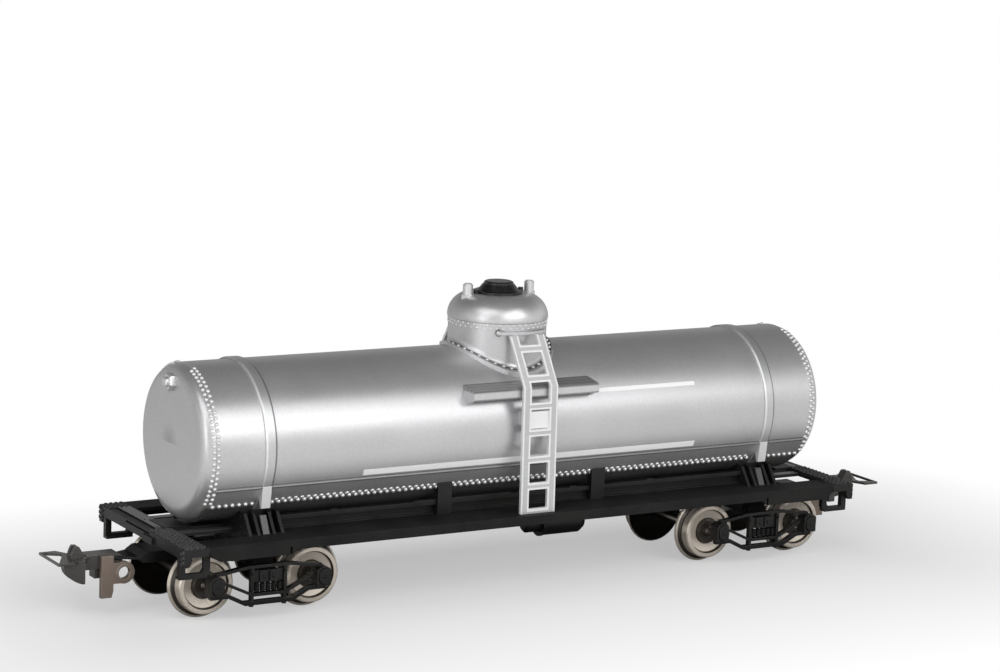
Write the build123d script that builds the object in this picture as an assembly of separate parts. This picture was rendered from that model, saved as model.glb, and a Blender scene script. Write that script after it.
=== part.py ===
from build123d import *
from math import cos, radians, sin
import os

os.makedirs("parts", exist_ok=True)

# Frame: X along the car, -Y the near side, Z up from the lowest point of the wheel flanges.
# All lengths are millimetres at the model's own size, 1:87.

# Driving sizes
tank_radius = 12.8
tank_reach = 60.2
truck_centres = 96.8
wheelbase = 18.8
frame_half_length = 64.8
tread_radius = 4.8

# Heights, each one stacked on the one before
flange_depth = 0.9
bolster_rise = 5.1
bearing_gap = 0.2
underframe_depth = 2.7
tank_lift = 0.6

# Wheels and axles
gauge_backs = 14.4
wheel_width = 2.8
flange_width = 0.75
rim_depth = 0.9
web_recess = 0.55
hub_radius = 2.0
axle_radius = 1.0
journal_radius = 0.7
journal_clearance = 0.06
axle_half_length = 13.1
axle_end_gap = 0.15

# Tank shell, heads and bands
head_knuckle = 2.2
head_crown = 0.3
shell_step = 0.15
belly_step = 0.2
belly_setback = 0.4
seam_angle = 25.9
band_width = 1.8
band_thickness = 0.14
band_bevel = 0.12
seam_bead = 0.24
plug_rise = 9.9
plug_radius = 1.0
plug_height = 0.45

# Dome
dome_radius = 8.35
dome_flange = 1.3
dome_flange_step = 0.3
dome_rim = 0.4
dome_flare = 1.1
dome_cap_rise = 5.0
dome_cap_lip = 0.2
dome_cap_height = 3.6
dome_shoulder = 3.0
hatch_radius = 4.1
hatch_skirt = 0.5
hatch_cone = 1.1
hatch_cap_radius = 2.5
hatch_cap = 0.4
valve_x = 6.0
valve_radius = 0.85
valve_base = 1.2
valve_base_height = 1.0
valve_height = 1.9
ledge_drop = 1.6
ledge_width = 1.2
ledge_thickness = 0.5
ledge_half_angle = 29.0

# Ladders and dome platforms
ladder_gap = 2.05
ladder_half_width = 3.3
ladder_rail = 1.5
ladder_depth = 0.6
ladder_lean = 0.45
ladder_bend = 7.9
ladder_top_proud = 0.35
rung_rise = 4.0
rung_height = 1.15
rung_pitch = 4.5
rung_corner = 0.2
stay_half_width = 2.8
stay_height = 2.9
stay_rise = 2.3
stay_round = 0.8
board_half_length = 12.1
board_rise = 7.6
board_outer = 1.1
board_slope = 0.8
board_plate = 0.6
board_lip = 1.7
board_gusset = 3.4

# Underframe
walkway_overhang = 3.95
walkway_inner = 3.6
end_walkway = 4.75
board_thickness = 0.6
skirt_depth = 1.6
skirt_deep = 2.4
skirt_thickness = 0.8
sill_half_width = 2.8
sill_depth = 1.8
sill_end_depth = 1.1
sill_setback = 2.8
sill_pad_length = 4.0
sill_pad_gap = 0.1
side_sill_height = 2.3
side_sill_web = 0.7
side_sill_flange = 1.3
end_platform_depth = 4.2
end_beam_thickness = 1.0
end_beam_depth = 1.7
beam_slot_depth = 0.4
corner_cap_depth = 2.8
corner_cap = 1.3
flange_inner_y = 4.6
flange_strip = 1.6
saddle_half_length = 3.1
saddle_rise = 3.4
saddle_recess = 0.7
rib_thickness = 0.5
rib_head = 0.7
rib_foot = 3.0
boss_radius = 3.4
post_x = 15.0
post_width = 2.6
post_depth = 1.2
bearer_x = 32.0
bearer_half_width = 0.6
step_width = 5.2
step_drop = 5.2
step_strap = 1.0
step_depth = 1.0
step_inset = 1.75
strap_width = 1.6
strap_thickness = 0.5
strap_drop = 3.7
tie_head = 1.3
tie_foot = 2.8
tie_height = 2.8

# Brake cylinder and reservoir
brake_x = 3.3
brake_y = 5.4
brake_drop = 4.5
reservoir_radius = 2.2
reservoir_length = 8.6
cylinder_radius = 1.5
cylinder_length = 3.4

# Trucks
side_frame_y = 12.4
side_frame_thickness = 1.0
arch_bar = 0.5
tie_bar = 0.7
column_x = 2.9
column_width = 0.5
box_half_width = 1.25
box_rise = 2.4
box_drop = 0.8
box_depth = 0.8
lid_thickness = 0.3
bolster_gap = 1.2
bolster_depth = 2.3
bolster_boss = 3.2
spring_pitch = 1.0
spring_radius = 0.42
pin_radius = 1.5
pin_clearance = 0.06
pin_head = 2.3
pin_head_gap = 0.5
pin_head_height = 1.0

# Coupler arm on the truck
arm_half_width = 3.0
arm_drop = 1.7
arm_thickness = 0.4
arm_end_radius = 1.4

# Couplers
pivot_overhang = 4.6
coupler_pin_radius = 0.8
clevis_gap = 0.15
clevis_round = 0.25
clevis_lower = 1.1
clevis_upper = 0.5
loop_step = 0.15
coupler_half_width = 1.5
head_x = 4.6
loop_reach = 11.05
loop_half_width = 4.1
loop_wire = 0.3
loop_thickness = 0.4
loop_root = 8.3
hook_x = 5.2
hook_width = 1.9
fin_x = 6.3
fin_length = 3.6
fin_depth = 3.8
fin_offset = 2.9
fin_thickness = 1.3
foot_x = 2.4
foot_length = 1.3
foot_depth = 1.6
plate_x = 1.0
plate_thickness = 0.9
plate_width = 2.05
plate_depth = 6.8
plate_eye_radius = 1.0
plate_ear_radius = 1.8
plate_rim = 0.35
rim_height = 0.15
eye_setback = 0.8
eye_drop = 2.0

# Levels and places that follow from the sizes above
truck_x = truck_centres / 2
axle_offset = wheelbase / 2
flange_radius = tread_radius + flange_depth
axle_z = flange_radius
bolster_top_z = axle_z + bolster_rise
bolster_half_width = axle_offset - flange_radius - bolster_gap
deck_z = bolster_top_z + bearing_gap + underframe_depth
deck_under_z = deck_z - board_thickness
tank_axis_z = deck_z + tank_lift + tank_radius
tank_top_z = tank_axis_z + tank_radius
shell_reach = tank_reach - head_crown - head_knuckle
frame_half_width = tank_radius + walkway_overhang
walkway_y = tank_radius - walkway_inner
cap_z = tank_top_z + dome_cap_rise
dome_top_z = cap_z + dome_cap_height
side_frame_face = side_frame_y + side_frame_thickness
arm_z = bolster_top_z - arm_drop
arm_top_z = arm_z + arm_thickness
pivot_x = frame_half_length + pivot_overhang
shank_top_z = arm_top_z + clevis_gap + clevis_upper
loop_z = shank_top_z - loop_step
eye_x = pivot_x - eye_setback
eye_z = arm_z - eye_drop
saddle_top_z = deck_z + saddle_rise
seam_down = tank_radius * sin(radians(seam_angle))
seam_out = tank_radius * cos(radians(seam_angle))


def block(x0, x1, y0, y1, z0, z1):
    """A box between two corners."""
    return Pos((x0 + x1) / 2, (y0 + y1) / 2, (z0 + z1) / 2) * Box(x1 - x0, y1 - y0, z1 - z0)


def rod_x(x0, x1, y, z, r):
    """A round bar along X."""
    return Pos((x0 + x1) / 2, y, z) * Rot(0, 90, 0) * Cylinder(r, x1 - x0)


def rod_y(x, y0, y1, z, r):
    """A round bar along Y."""
    return Pos(x, (y0 + y1) / 2, z) * Rot(90, 0, 0) * Cylinder(r, y1 - y0)


def rod_z(x, y, z0, z1, r):
    """A round bar along Z."""
    return Pos(x, y, (z0 + z1) / 2) * Cylinder(r, z1 - z0)


def plate_xz(points, y0, y1):
    """A flat plate of the outline (x, z), between two values of Y."""
    face = make_face(Polyline(*[(x, 0, z) for x, z in points], close=True))
    return Pos(0, y0, 0) * extrude(face, amount=y1 - y0, dir=(0, 1, 0))


def plate_yz(points, x0, x1):
    """A flat plate of the outline (y, z), between two values of X."""
    face = make_face(Polyline(*[(0, y, z) for y, z in points], close=True))
    return Pos(x0, 0, 0) * extrude(face, amount=x1 - x0, dir=(1, 0, 0))


def plate_xy(points, z0, z1):
    """A flat plate of the outline (x, y), between two values of Z."""
    face = make_face(Polyline(*[(x, y, 0) for x, y in points], close=True))
    return Pos(0, 0, z0) * extrude(face, amount=z1 - z0, dir=(0, 0, 1))


def bent_bar(points, thickness, y0, y1):
    """A flat bar whose upper edge follows the points (x, z)."""
    under = [(x, z - thickness) for x, z in reversed(points)]
    return plate_xz(points + under, y0, y1)


def turned_z(points):
    """A solid of revolution about Z with the outline (radius, z)."""
    return revolve(make_face(Polyline(*[(r, 0, z) for r, z in points], close=True)), Axis.Z, 360)


def both_ways(points):
    """An outline given for x >= 0, from the middle outward, with its mirror image."""
    return [(-x, z) for x, z in reversed(points)] + list(points)


def far_or_near(shape, side):
    """A piece drawn on the far side, or its mirror image on the near side."""
    return shape if side > 0 else mirror(shape, about=Plane.XZ)


def at_left(shape):
    """The same piece at the other end of the car, turned half round."""
    return Rot(0, 0, 180) * shape


def save(name, *solids):
    """Write one named piece."""
    shape = solids[0] if len(solids) == 1 else Compound(children=list(solids))
    export_step(shape, "parts/" + name + ".step")


# Tank

def tank_belly_z(y):
    """Height of the shell's underside at a distance from the middle."""
    return tank_axis_z - (tank_radius ** 2 - y ** 2) ** 0.5


def head_profile(end):
    """One head from the shell's edge to the axis, as edges in the XY plane."""
    edge = tank_radius - shell_step
    flat = edge - head_knuckle
    mid = head_knuckle * 0.7071
    face_x = tank_reach - head_crown
    # The crown is part of a ball whose centre lies on the tank's axis.
    ball = (flat ** 2 + head_crown ** 2) / (2 * head_crown)
    half_x = tank_reach - ball + (ball ** 2 - (flat / 2) ** 2) ** 0.5
    return [
        Line((end * shell_reach, tank_radius), (end * shell_reach, edge)),
        ThreePointArc((end * shell_reach, edge), (end * (shell_reach + mid), flat + mid), (end * face_x, flat)),
        ThreePointArc((end * face_x, flat), (end * half_x, flat / 2), (end * tank_reach, 0)),
    ]


def head_plug(end):
    """The six-sided plug high on a head, with its round boss."""
    z = tank_axis_z + plug_rise
    x0 = tank_reach - head_crown - plug_height
    nut = extrude(RegularPolygon(plug_radius, 6), 2 * plug_height)
    boss = Pos(0, 0, 2 * plug_height) * extrude(Circle(plug_radius * 0.55), plug_height)
    return Pos(end * x0, 0, z) * Rot(0, end * 90, 0) * (nut + boss)


def tank():
    top = Line((-shell_reach, tank_radius), (shell_reach, tank_radius))
    axis = Line((-tank_reach, 0), (tank_reach, 0))
    outline = make_face([top, axis, *head_profile(-1), *head_profile(1)])
    body = Pos(0, 0, tank_axis_z) * revolve(outline, Axis.X, 360)
    # The belly sheet laps over the shell below a seam on each side.
    reach = shell_reach - belly_setback
    belly = rod_x(-reach, reach, 0, tank_axis_z, tank_radius + belly_step)
    above = Pos(0, 0, tank_axis_z - seam_down) * extrude(Rectangle(4 * reach, 4 * reach), 4 * reach)
    body = body + (belly - above) + head_plug(-1) + head_plug(1)
    for side in (-1, 1):
        body = body + rod_x(-reach, reach, side * seam_out, tank_axis_z - seam_down - seam_bead, seam_bead)
    return body


def bands(shell):
    """Two raised rings with bevelled edges round the tank over the trucks."""
    half = band_width / 2
    inner = tank_radius - shell_step
    outer = tank_radius + belly_step + band_thickness
    outline = Polyline((-half, inner), (-half, outer - band_bevel), (-half + band_bevel, outer),
                       (half - band_bevel, outer), (half, outer - band_bevel), (half, inner), close=True)
    ring = Pos(0, 0, tank_axis_z) * revolve(make_face(outline), Axis.X, 360)
    return [Pos(x, 0, 0) * ring - shell for x in (-truck_x, truck_x)]


def band_straps(shell, rings, supports):
    """The straps that draw each band down, and the tie bars below them on the walkway."""
    out = []
    half = strap_width / 2
    seam_z = tank_axis_z - seam_down
    top_y = seam_out + seam_bead + 0.15
    low_z = seam_z - strap_drop
    upper = [(seam_out - 0.9, seam_z + 0.2), (top_y, seam_z + 0.2), (top_y - 0.5, low_z),
             (top_y - 0.5 - strap_thickness, low_z), (seam_out - 1.3, seam_z - 1.0)]
    head_y = walkway_y + tie_head
    foot_y = walkway_y + tie_foot
    lower = [(head_y - strap_thickness, deck_z + tie_height), (head_y, deck_z + tie_height), (foot_y, deck_z),
             (foot_y - strap_thickness, deck_z)]
    for x in (-truck_x, truck_x):
        for side in (-1, 1):
            strap = plate_yz([(side * y, z) for y, z in upper], x - half, x + half) - shell
            for ring in rings:
                strap = strap - ring
            bar = plate_yz([(side * y, z) for y, z in lower], x - half * 0.7, x + half * 0.7)
            for support in supports:
                bar = bar - support
            out.append(strap)
            out.append(bar)
    return out


# Dome

def dome(shell):
    """Drum with a rounded cap, flared onto a flange that lies on the tank."""
    base_z = tank_axis_z + tank_radius / 2
    lip = dome_radius + dome_cap_lip
    drum = turned_z([(0, base_z), (dome_radius, base_z), (dome_radius, cap_z - 0.5), (0, cap_z - 0.5)])
    shoulder = ThreePointArc((lip, 0, cap_z), (lip - 0.95, 0, cap_z + dome_cap_height * 0.64),
                             (lip - dome_shoulder - 0.25, 0, dome_top_z))
    sides = Polyline((lip - dome_shoulder - 0.25, 0, dome_top_z), (0, 0, dome_top_z), (0, 0, cap_z - 0.5),
                     (dome_radius, 0, cap_z - 0.5), (lip, 0, cap_z - 0.35), (lip, 0, cap_z))
    cap = revolve(make_face([shoulder, *sides.edges()]), Axis.Z, 360)
    flange_radius_xy = dome_radius + dome_flange
    sheet = rod_x(-2 * dome_radius, 2 * dome_radius, 0, tank_axis_z, tank_radius + dome_flange_step)
    rim = rod_x(-2 * dome_radius, 2 * dome_radius, 0, tank_axis_z, tank_radius + 2 * dome_flange_step)
    flared = sheet + drum
    joint = flared.edges().filter_by(GeomType.CIRCLE, reverse=True).filter_by(GeomType.LINE, reverse=True)
    upper = [e for e in joint if e.center().Z > tank_axis_z]
    flared = fillet(upper, dome_flare)
    trim = rod_z(0, 0, base_z, cap_z, flange_radius_xy)
    flared = flared & trim
    rim = (rim & trim) - rod_z(0, 0, base_z, cap_z, flange_radius_xy - dome_rim)
    return flared + rim + cap + ledge(1) + ledge(-1) - shell


def ledge(side):
    """The curved foot ledge round the dome over a ladder's top, with a ball at one end."""
    z = cap_z - ledge_drop
    inner = dome_radius - 0.2
    outer = dome_radius + ledge_width
    face = make_face(Polyline((inner, 0, z - ledge_thickness), (outer, 0, z - ledge_thickness), (outer, 0, z),
                              (inner, 0, z), close=True))
    arc = revolve(face, Axis.Z, 2 * ledge_half_angle)
    ball = Pos(dome_radius + ledge_width / 2, 0, z - ledge_thickness / 2) * Sphere(ledge_width / 2)
    return Rot(0, 0, side * 90 - ledge_half_angle) * (arc + ball)


def hatch():
    """Black cover: skirt ring, cone and flat cap, with a lug on either side."""
    z0 = dome_top_z
    z1 = z0 + hatch_skirt
    z2 = z1 + hatch_cone
    outline = [(0, z0), (hatch_radius, z0), (hatch_radius, z1 - 0.1), (hatch_radius - 0.3, z1),
               (hatch_radius - 0.6, z1), (hatch_cap_radius + 0.2, z2 - 0.1), (hatch_cap_radius, z2 - 0.1),
               (hatch_cap_radius, z2 + hatch_cap - 0.15), (hatch_cap_radius - 0.3, z2 + hatch_cap),
               (0, z2 + hatch_cap)]
    cover = turned_z(outline)
    for end in (-1, 1):
        x = end * (hatch_radius + 0.25)
        cover = cover + rod_z(x, 0, z0, z0 + 0.7, 0.45)
    return cover


def valves(dome_solid):
    """Two safety valves, each a round stem on a six-sided base."""
    out = []
    z0 = dome_top_z - 1.3
    z1 = dome_top_z - valve_base_height * 0.1
    for x in (-valve_x, valve_x):
        base = Pos(x, 0, z0) * extrude(RegularPolygon(valve_base, 6), z1 - z0)
        stem = rod_z(x, 0, z1, z1 + valve_height - 0.2, valve_radius)
        cap = rod_z(x, 0, z1 + valve_height - 0.2, z1 + valve_height, valve_radius - 0.2)
        out.append(base + stem + cap - dome_solid)
    return out


# Ladders and dome platforms, drawn on the far side

def ladder(shell):
    """A bent plate with square openings between its rungs and a stay that meets the shell."""
    y1 = tank_radius + ladder_gap + ladder_depth
    bend_y = y1 - ladder_lean
    bend_z = tank_axis_z + ladder_bend
    top_z = cap_z - ledge_drop - ledge_thickness
    top_y = dome_radius + ledge_width + ladder_top_proud
    outer = [(y1, deck_z), (bend_y, bend_z), (top_y, top_z)]
    inner = [(y - ladder_depth, z) for y, z in reversed(outer)]
    plate = plate_yz(outer + inner, -ladder_half_width, ladder_half_width)
    width = 2 * (ladder_half_width - ladder_rail)
    rungs = [deck_z + rung_rise]
    while rungs[-1] + rung_pitch + rung_height < top_z:
        rungs.append(rungs[-1] + rung_pitch)
    floors = [deck_z - rung_height * 0.3] + rungs
    roofs = rungs + [top_z + rung_height]
    for floor, roof in zip(floors, roofs):
        low = floor + rung_height
        hole = extrude(RectangleRounded(width, roof - low, rung_corner), y1, both=True)
        plate = plate - Pos(0, y1, (low + roof) / 2) * Rot(90, 0, 0) * hole
    # The stay runs from the plate's back into the shell.
    back_y = bend_y - ladder_depth / 2
    stay = extrude(RectangleRounded(2 * stay_half_width, stay_height, stay_round), back_y - tank_radius * 0.9)
    return plate + Pos(0, back_y, tank_axis_z + stay_rise) * Rot(90, 0, 0) * stay - shell


def dome_platform(shell, ladder_solid):
    """A sloping board beside the dome, with a rounded front lip and a gusset at each end."""
    y_in = tank_radius * 0.62
    y_out = tank_radius + board_outer
    z_in = tank_axis_z + board_rise + board_slope
    z_out = z_in - board_slope
    z_lip = z_out - board_lip
    outline = [(y_in, z_in), (y_out - 0.3, z_out), (y_out, z_out - 0.3), (y_out, z_lip + 0.3), (y_out - 0.3, z_lip),
               (y_out - 0.9, z_lip), (y_out - 0.9, z_out - board_plate), (y_in, z_in - board_plate)]
    board = plate_yz(outline, -board_half_length, board_half_length)
    gusset = [(y_in, z_in), (y_out - 0.3, z_out), (y_out - 0.3, z_lip), (y_out - 1.0, z_lip),
              (y_out - board_gusset, z_lip - 1.6), (y_in, z_lip - 1.6)]
    for x in (-board_half_length, board_half_length - 0.7):
        board = board + plate_yz(gusset, x, x + 0.7)
    return board - shell - ladder_solid


# Underframe

def running_board():
    """Walkway on the far side: wide along the middle, narrow at the ends, with a stepped skirt."""
    reach = frame_half_length - end_platform_depth
    waist = truck_x + saddle_half_length
    y_in = frame_half_width - end_walkway
    plan = [(waist, walkway_y), (waist, y_in), (reach, y_in), (reach, frame_half_width)]
    board = plate_xy(both_ways(plan), deck_under_z, deck_z)
    low = deck_z - skirt_depth
    deep = deck_z - skirt_deep
    near_truck = truck_x - saddle_half_length
    lower = [(near_truck, low), (near_truck + 0.8, deep), (reach - 2.0, deep), (reach - 0.6, deep + 0.7),
             (reach, deck_under_z), (reach, deck_z)]
    skirt = plate_xz(both_ways(lower), frame_half_width - skirt_thickness, frame_half_width)
    notch_z = deck_z - skirt_depth * 0.7
    for end in (-1, 1):
        x = end * (near_truck + 1.0)
        skirt = skirt - block(x - 0.2, x + 0.2, 0, frame_half_width, deep, notch_z)
    return board + skirt


def end_platform(sill):
    """Right end: platform with its beam, corner caps, plank, face slot and sill flanges."""
    x1 = frame_half_length
    x0 = x1 - end_platform_depth
    half = frame_half_width
    out = block(x0, x1, -half, half, deck_under_z, deck_z)
    out = out + block(x1 - end_beam_thickness, x1, -half, half, deck_z - end_beam_depth, deck_z)
    out = out + block(x0 + 0.5, x1 - 1.5, -half + 3.8, 2.0, deck_z, deck_z + 0.2)
    waist = truck_x + saddle_half_length
    for side in (-1, 1):
        a, b = sorted((side * flange_inner_y, side * (flange_inner_y + flange_strip)))
        out = out + block(waist, x0, a, b, deck_under_z, deck_z)
        cap = [(x1 - corner_cap, deck_z), (x1, deck_z), (x1, deck_z - corner_cap_depth),
               (x1 - corner_cap + 0.4, deck_z - corner_cap_depth), (x1 - corner_cap, deck_z - end_beam_depth)]
        a, b = sorted((side * (half - 1.3), side * half))
        out = out + plate_xz(cap, a, b)
        edge = [(x0, deck_z), (x1 - corner_cap, deck_z), (x1 - corner_cap, deck_z - 1.3), (x0, deck_z - 1.3)]
        a, b = sorted((side * (half - skirt_thickness), side * half))
        out = out + plate_xz(edge, a, b)
    slot = block(x1 - beam_slot_depth, x1, -5.9, 3.3, deck_z - 0.55, deck_z - 0.2)
    tab = [(x1, deck_z - 0.6), (x1 + 0.35, deck_z - 0.8), (x1 + 0.35, deck_z - end_beam_depth - 0.2),
           (x1, deck_z - end_beam_depth - 0.2)]
    return out - slot + plate_xz(tab, 1.3, 5.0) - sill


def centre_sill():
    """Deep box between the saddles, a thin plate beyond them and a pad at each end."""
    inner = truck_x - saddle_half_length
    reach = frame_half_length - sill_setback
    lower = [(inner, deck_z - sill_depth), (inner + 1.0, deck_z - sill_end_depth), (reach, deck_z - sill_end_depth),
             (reach, deck_z)]
    sill = plate_xz(both_ways(lower), -sill_half_width, sill_half_width)
    pad_z = deck_z + tank_lift - belly_step - sill_pad_gap
    for end in (-1, 1):
        a, b = sorted((end * reach, end * (reach - sill_pad_length)))
        sill = sill + block(a, b, -sill_half_width, sill_half_width, deck_z, pad_z)
    return sill


def side_sills():
    """A channel under each side of the tank, its upper flange turned outward, with raised pads."""
    reach = truck_x - saddle_half_length
    y1 = walkway_y
    y0 = y1 - side_sill_web
    z0 = deck_z - skirt_depth
    z1 = deck_z + side_sill_height
    outline = [(y0, z0), (y1, z0), (y1, deck_z + 0.1), (y1 - 0.3, deck_z + 0.3), (y1 - 0.3, z1 - 0.8),
               (y0 + side_sill_flange, z1 - 0.7), (y0 + side_sill_flange, z1), (y0, z1)]
    # Raised pads as (start, end) along X.
    pads = [(-35.9, -34.7), (-20.6, -1.8), (9.8, 11.0), (25.5, 26.7)]
    out = []
    for side in (-1, 1):
        sill = plate_yz([(side * y, z) for y, z in outline], -reach, reach)
        for start, stop in pads:
            a, b = sorted((side * (y0 + 0.3), side * (y0 + side_sill_flange)))
            sill = sill + block(start, stop, a, b, z1, z1 + 0.2)
        out.append(sill)
    return out


def cross_bearers():
    """Tapered ribs from the centre sill to the side sills."""
    y_in = sill_half_width
    y_out = walkway_y - side_sill_web
    outline = [(y_in, deck_z - sill_depth), (y_out, deck_z - 1.2), (y_out, deck_z), (y_in, deck_z)]
    out = []
    for x in (-bearer_x, -post_x, post_x, bearer_x):
        for side in (-1, 1):
            flat = [(side * y, z) for y, z in outline]
            out.append(plate_yz(flat, x - bearer_half_width, x + bearer_half_width))
    return out


def support_posts(shell, sills):
    """Posts from the walkway up to the shell, with sloping tops under it."""
    y0 = walkway_y
    y1 = y0 + post_depth
    outline = [(y0, deck_z), (y1, deck_z), (y1, tank_belly_z(y1) - 0.5), (y0, tank_belly_z(y0) + 0.4)]
    out = []
    for x in (-post_x, post_x):
        for side in (-1, 1):
            post = plate_yz([(side * y, z) for y, z in outline], x - post_width / 2, x + post_width / 2)
            for channel in sills:
                post = post - channel
            out.append(post - shell)
    return out


def saddle_body():
    """Right end: bearing boss and cradle with flared ribs that stand on the walkways."""
    x0 = truck_x - saddle_half_length
    x1 = truck_x + saddle_half_length
    face_y = walkway_y - saddle_recess
    base = block(x0, x1, -walkway_y, walkway_y, deck_z - skirt_depth, deck_z)
    body = base + block(x0, x1, -face_y, face_y, deck_z, saddle_top_z)
    rib = [(face_y - 0.5, saddle_top_z), (walkway_y + rib_head, saddle_top_z - 0.3), (walkway_y + rib_foot, deck_z),
           (face_y - 0.5, deck_z)]
    for x in (x0, truck_x - 1.6, truck_x + 1.1, x1 - rib_thickness):
        for side in (-1, 1):
            body = body + plate_yz([(side * y, z) for y, z in rib], x, x + rib_thickness)
    boss = rod_z(truck_x, 0, bolster_top_z + bearing_gap, deck_z, boss_radius)
    return body + boss


def saddle(shell, rings, sill):
    body = saddle_body() - rod_z(truck_x, 0, 0, deck_z, pin_radius) - shell - sill
    for ring in rings:
        body = body - ring
    return body


def king_pin(sill):
    under_z = bolster_top_z - bolster_depth - pin_head_gap
    shaft = rod_z(truck_x, 0, under_z, deck_z - sill_end_depth, pin_radius)
    head = rod_z(truck_x, 0, under_z - pin_head_height, under_z, pin_head)
    return shaft + head - sill


def corner_steps():
    """A stirrup under each corner, its inner strap spread outward at the foot."""
    out = []
    x1 = frame_half_length
    x0 = x1 - step_width
    y1 = frame_half_width - step_inset
    y0 = y1 - step_depth
    top = deck_under_z
    low = deck_z - step_drop
    outer = [(x0, top), (x1, top), (x1, low), (x0 + 0.6, low), (x0, low + 0.9)]
    inner = [(x0 + step_strap, top), (x1 - step_strap, top), (x1 - step_strap, low + 0.8),
             (x0 + step_strap + 0.4, low + 0.8), (x0 + step_strap, low + 1.4)]
    stirrup = plate_xz(outer, y0, y1) - plate_xz(inner, y0, y1)
    stirrup = stirrup + block(x0 + 0.6, x1, y0 - 0.5, y0, low, low + 0.4)
    # The outer strap stops under the end beam.
    stirrup = stirrup - block(x1 - end_beam_thickness, x1, y0, y1, deck_z - end_beam_depth, top)
    for end in (-1, 1):
        for side in (-1, 1):
            turned = far_or_near(stirrup, side * end)
            out.append(turned if end > 0 else at_left(turned))
    return out


def brake_gear(sill):
    """Brake cylinder and reservoir in one line, hung from the centre sill by two plates."""
    z = deck_z - brake_drop
    r = reservoir_radius
    c = cylinder_radius
    mid = cylinder_length
    end = cylinder_length + reservoir_length
    # The outline runs from the cylinder's nose to the reservoir's domed end, as (along X, radius).
    outline = Polyline((0, 0), (0, c - 0.5), (0.5, c), (mid - 0.4, c), (mid - 0.4, r + 0.1), (mid + 0.1, r + 0.1),
                       (mid + 0.1, r), (end - 1.3, r), (end - 0.4, r - 0.6), (end, r - 1.4), (end, 0), close=True)
    body = Pos(brake_x, -brake_y, z) * revolve(make_face(outline), Axis.X, 360)
    hanger = [(-sill_half_width, deck_z - 0.4), (-sill_half_width, deck_z - sill_depth + 0.2),
              (-brake_y + r - 0.3, z), (-brake_y - r * 0.5, z), (-brake_y - r * 0.5, z + r + 0.4),
              (-brake_y, deck_z - 0.4)]
    for x in (brake_x + mid + 1.2, brake_x + end - 2.6):
        body = body + plate_yz(hanger, x, x + 0.7)
    return body - sill


# Trucks, drawn at the right end about x = truck_x

def journal_box(offset):
    """A box with an arched roof and an oval lid, drawn on the far side."""
    x = truck_x + offset
    low = axle_z - box_drop
    spring_line = axle_z + box_rise - 0.7
    sides = Polyline((x - box_half_width, 0, spring_line), (x - box_half_width, 0, low), (x + box_half_width, 0, low),
                     (x + box_half_width, 0, spring_line))
    roof = ThreePointArc((x + box_half_width, 0, spring_line), (x, 0, axle_z + box_rise),
                         (x - box_half_width, 0, spring_line))
    face = make_face([*sides.edges(), roof])
    y0 = side_frame_y - 0.3
    y1 = side_frame_face + box_depth
    body = Pos(0, y0, 0) * extrude(face, amount=y1 - y0, dir=(0, 1, 0))
    oval = extrude(SlotOverall(2 * box_half_width + 0.3, 2 * box_half_width - 0.5, rotation=90), lid_thickness, taper=25)
    return body + Pos(x, y1, axle_z + 0.75) * Rot(-90, 0, 0) * oval


def side_frame():
    """Arch bars over and under two columns, a tie bar below and a journal box at either end."""
    y0 = side_frame_y
    y1 = side_frame_face
    box_in = axle_offset - box_half_width
    top = [(0, 3.6), (column_x + 0.7, 3.5), (box_in - 0.2, 2.85), (axle_offset, 2.7)]
    low = [(0, -1.1), (column_x, -1.1), (box_in + 0.2, 1.5)]
    tie = [(0, -2.3), (column_x + 1.3, -2.3), (box_in - 1.0, -0.8), (axle_offset + 0.8, -0.8)]
    frame = None
    for points, thickness in ((top, arch_bar), (low, arch_bar), (tie, tie_bar)):
        edge = [(truck_x + x, axle_z + z) for x, z in both_ways(points[1:])]
        bar = bent_bar(edge, thickness, y0, y1)
        frame = bar if frame is None else frame + bar
    for end in (-1, 1):
        x = truck_x + end * column_x
        column = plate_xz([(x - column_width / 2, axle_z - 2.5), (x + column_width / 2, axle_z - 2.5),
                           (x + column_width / 2, axle_z + 3.3), (x - column_width / 2, axle_z + 3.3)], y0, y1 - 0.1)
        nut = rod_z(x, (y0 + y1) / 2, axle_z - 3.3, axle_z - 2.5, 0.4)
        frame = frame + column + nut + journal_box(end * axle_offset)
        reach = axle_half_length + axle_end_gap
        bore = rod_y(truck_x + end * axle_offset, y0 - 1.0, reach, axle_z, journal_radius + journal_clearance)
        frame = frame - bore
    return frame


def truck_springs():
    """Two groups of five spring columns between the lower arch bars and the bolster's ends."""
    out = []
    y = (side_frame_y + side_frame_face) / 2
    for side in (-1, 1):
        for i in range(-2, 3):
            x = truck_x + i * spring_pitch
            out.append(rod_z(x, side * y, axle_z - 1.1, axle_z + 0.6, spring_radius))
    return out


def truck_bolster():
    """Beam across the truck, dropped at each end to sit on the springs between the columns."""
    top = bolster_top_z
    under = top - bolster_depth
    low = axle_z + 0.6
    reach = side_frame_face - 0.2
    inner = side_frame_y - 2.4
    drop = [(0, top), (inner, top), (side_frame_y - 0.6, axle_z + 2.7), (reach, axle_z + 2.5), (reach, low),
            (side_frame_y - 1.4, low), (inner - 0.6, under), (0, under)]
    half = column_x - column_width / 2
    centre = plate_yz([(y, z) for y, z in both_ways([(inner, top), (inner - 0.6, under)])],
                      truck_x - bolster_half_width, truck_x + bolster_half_width)
    out = centre + rod_z(truck_x, 0, under, top, bolster_boss)
    for side in (-1, 1):
        arm = plate_yz([(side * y, z) for y, z in drop], truck_x - half * 0.6, truck_x + half * 0.6)
        shoe = block(truck_x - half, truck_x + half, side_frame_y, side_frame_y + 0.5, low, axle_z + 2.5)
        groove = block(truck_x - 0.2, truck_x + 0.2, side_frame_y + 0.5, side_frame_face, low, axle_z + 2.5)
        out = out + arm + far_or_near(shoe, side) - far_or_near(groove, side)
    return out - rod_z(truck_x, 0, under - 1.0, top + 1.0, pin_radius + pin_clearance)


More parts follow.
